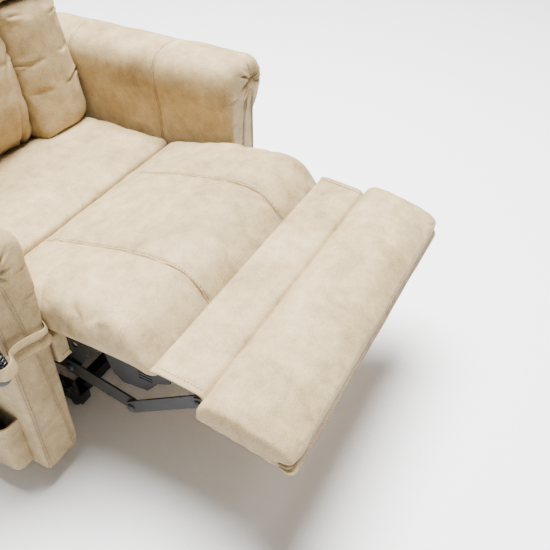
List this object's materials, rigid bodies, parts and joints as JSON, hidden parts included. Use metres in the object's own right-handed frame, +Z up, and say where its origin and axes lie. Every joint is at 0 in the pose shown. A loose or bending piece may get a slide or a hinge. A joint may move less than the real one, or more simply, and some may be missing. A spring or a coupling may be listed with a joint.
{
  "type": "recliner armchair",
  "caption": "Padded power lift recliner with rolled arms, an extending chaise footrest, a reclining pillow back, a lifting base and a corded handset in a side pocket.",
  "frame": {"origin": "on the floor under the middle of the chair, halfway along its length with the footrest out", "axes": "+X to the left-hand arm as seated, -Y out along the footrest, +Z up"},
  "size_m": [0.9968, 1.3084, 1.1008],
  "materials": {
    "upholstery": "warm tan suede-like faux leather, mottled",
    "dust_fabric": "black non-woven cloth",
    "plywood": "raw plywood and softwood",
    "black_steel": "black powder coat",
    "bright_steel": "ground bright rod",
    "spring_steel": "dark spring wire",
    "black_plastic": "fine textured moulded plastic",
    "grey_plastic": "satin button",
    "black_rubber": "matt rubber",
    "black_cord": "glossy curly cord jacket"
  },
  "bodies": {
    "base": {"base_rail_left": "black_steel", "base_rail_right": "black_steel", "base_cross_tubes": "black_steel", "floor_glides": "black_rubber", "motor_clevis": "black_steel", "power_inlet": "black_plastic"},
    "lift_arms": {"lift_arms": "black_steel", "lift_torque_tube": "black_steel"},
    "stay": {"stay_links": "black_steel"},
    "motor": {"motor_housing": "black_plastic", "actuator_tube": "black_plastic"},
    "rod": {"actuator_rod": "bright_steel"},
    "chair": {"arm_frame_left": "plywood", "arm_frame_right": "plywood", "arm_front_panel_left": "upholstery", "arm_front_panel_right": "upholstery", "arm_inner_panel_left": "upholstery", "arm_inner_panel_right": "upholstery", "arm_outer_panel_left": "upholstery", "arm_outer_panel_right": "upholstery", "arm_pad_left": "upholstery", "arm_pad_right": "upholstery", "chaise_pad_rear": "upholstery", "cord_gland": "black_plastic", "front_apron": "upholstery", "handset_back_shell": "black_plastic", "handset_cord": "black_cord", "handset_front_shell": "black_plastic", "handset_pocket": "upholstery", "handset_strain_relief": "black_rubber", "mechanism_plate_left": "black_steel", "mechanism_plate_right": "black_steel", "rear_valance": "upholstery", "seat_cushion": "upholstery", "seat_deck": "dust_fabric", "seat_rail_front": "plywood", "seat_rail_rear": "plywood", "seat_side_rails": "plywood", "seat_springs": "spring_steel", "strap_loop": "upholstery"},
    "button_up": {"button_up": "grey_plastic"},
    "button_down": {"button_down": "grey_plastic"},
    "legrest": {"legrest_board": "plywood", "legrest_pad": "upholstery", "legrest_brackets": "black_steel", "leg_flap": "upholstery"},
    "end_rest": {"end_pad": "upholstery", "end_board": "plywood", "end_brackets": "black_steel"},
    "link_rear": {"leg_links_rear": "black_steel"},
    "link_front": {"leg_links_front": "black_steel"},
    "backrest": {"back_posts": "plywood", "back_rails": "plywood", "back_brackets": "black_steel", "back_outer_cover": "upholstery", "back_centre_pad": "upholstery", "back_bolster_left": "upholstery", "back_bolster_right": "upholstery", "shoulder_pillow": "upholstery", "head_pillow": "upholstery"}
  },
  "joints": [
    {"name": "chair_lift", "type": "hinge", "parent": "base", "child": "lift_arms", "pos_m": [0, 0.02, 0.062], "axis": [1, 0, 0], "range_deg": [0, 35]},
    {"name": "chair_tilt", "type": "hinge", "parent": "lift_arms", "child": "chair", "pos_m": [0, 0.42, 0.112], "axis": [1, 0, 0], "range_deg": [-15.2, 0]},
    {"name": "stay_swing", "type": "hinge", "parent": "base", "child": "stay", "pos_m": [0, -0.01832, 0.078], "axis": [1, 0, 0], "range_deg": [0, 36]},
    {"name": "motor_swing", "type": "hinge", "parent": "base", "child": "motor", "pos_m": [0, 0.44, 0.078], "axis": [-1, 0, 0], "range_deg": [0, 8.19]},
    {"name": "rod_extend", "type": "slide", "parent": "motor", "child": "rod", "axis": [0, -0.9912, 0.1322], "range_m": [0, 0.06498]},
    {"name": "back_recline", "type": "hinge", "parent": "chair", "child": "backrest", "pos_m": [0, 0.45, 0.3], "axis": [-1, 0, 0], "range_deg": [0, 38]},
    {"name": "leg_fold", "type": "hinge", "parent": "chair", "child": "legrest", "pos_m": [0, -0.217, 0.356], "axis": [1, 0, 0], "range_deg": [0, 85]},
    {"name": "end_slide", "type": "slide", "parent": "legrest", "child": "end_rest", "axis": [0, 1, 0], "range_m": [0, 0.1002], "deforming": ["leg_flap"]},
    {"name": "link_rear_turn", "type": "hinge", "parent": "chair", "child": "link_rear", "pos_m": [0, -0.12, 0.259], "axis": [1, 0, 0], "range_deg": [0, 110.65]},
    {"name": "link_front_turn", "type": "hinge", "parent": "end_rest", "child": "link_front", "pos_m": [0, -0.441, 0.345], "axis": [-1, 0, 0], "range_deg": [0, 80.23]},
    {"name": "button_up_press", "type": "slide", "parent": "chair", "child": "button_up", "axis": [1, 0, 0], "range_m": [0, 0.0015], "stiffness_N_per_m": 300, "springref_m": -0.001},
    {"name": "button_down_press", "type": "slide", "parent": "chair", "child": "button_down", "axis": [1, 0, 0], "range_m": [0, 0.0015], "stiffness_N_per_m": 300, "springref_m": -0.001}
  ],
  "couplings": [
    {"joint": "chair_tilt", "follows": "chair_lift", "ratio": -0.42857},
    {"joint": "stay_swing", "follows": "chair_lift", "ratio": 1.0121},
    {"joint": "motor_swing", "follows": "chair_lift", "ratio": 0.22835},
    {"joint": "rod_extend", "follows": "chair_lift", "m_per_rad": 0.10588},
    {"joint": "end_slide", "follows": "leg_fold", "m_per_rad": 0.067407},
    {"joint": "link_rear_turn", "follows": "leg_fold", "ratio": 1.2994},
    {"joint": "link_front_turn", "follows": "leg_fold", "ratio": 0.94148}
  ]
}
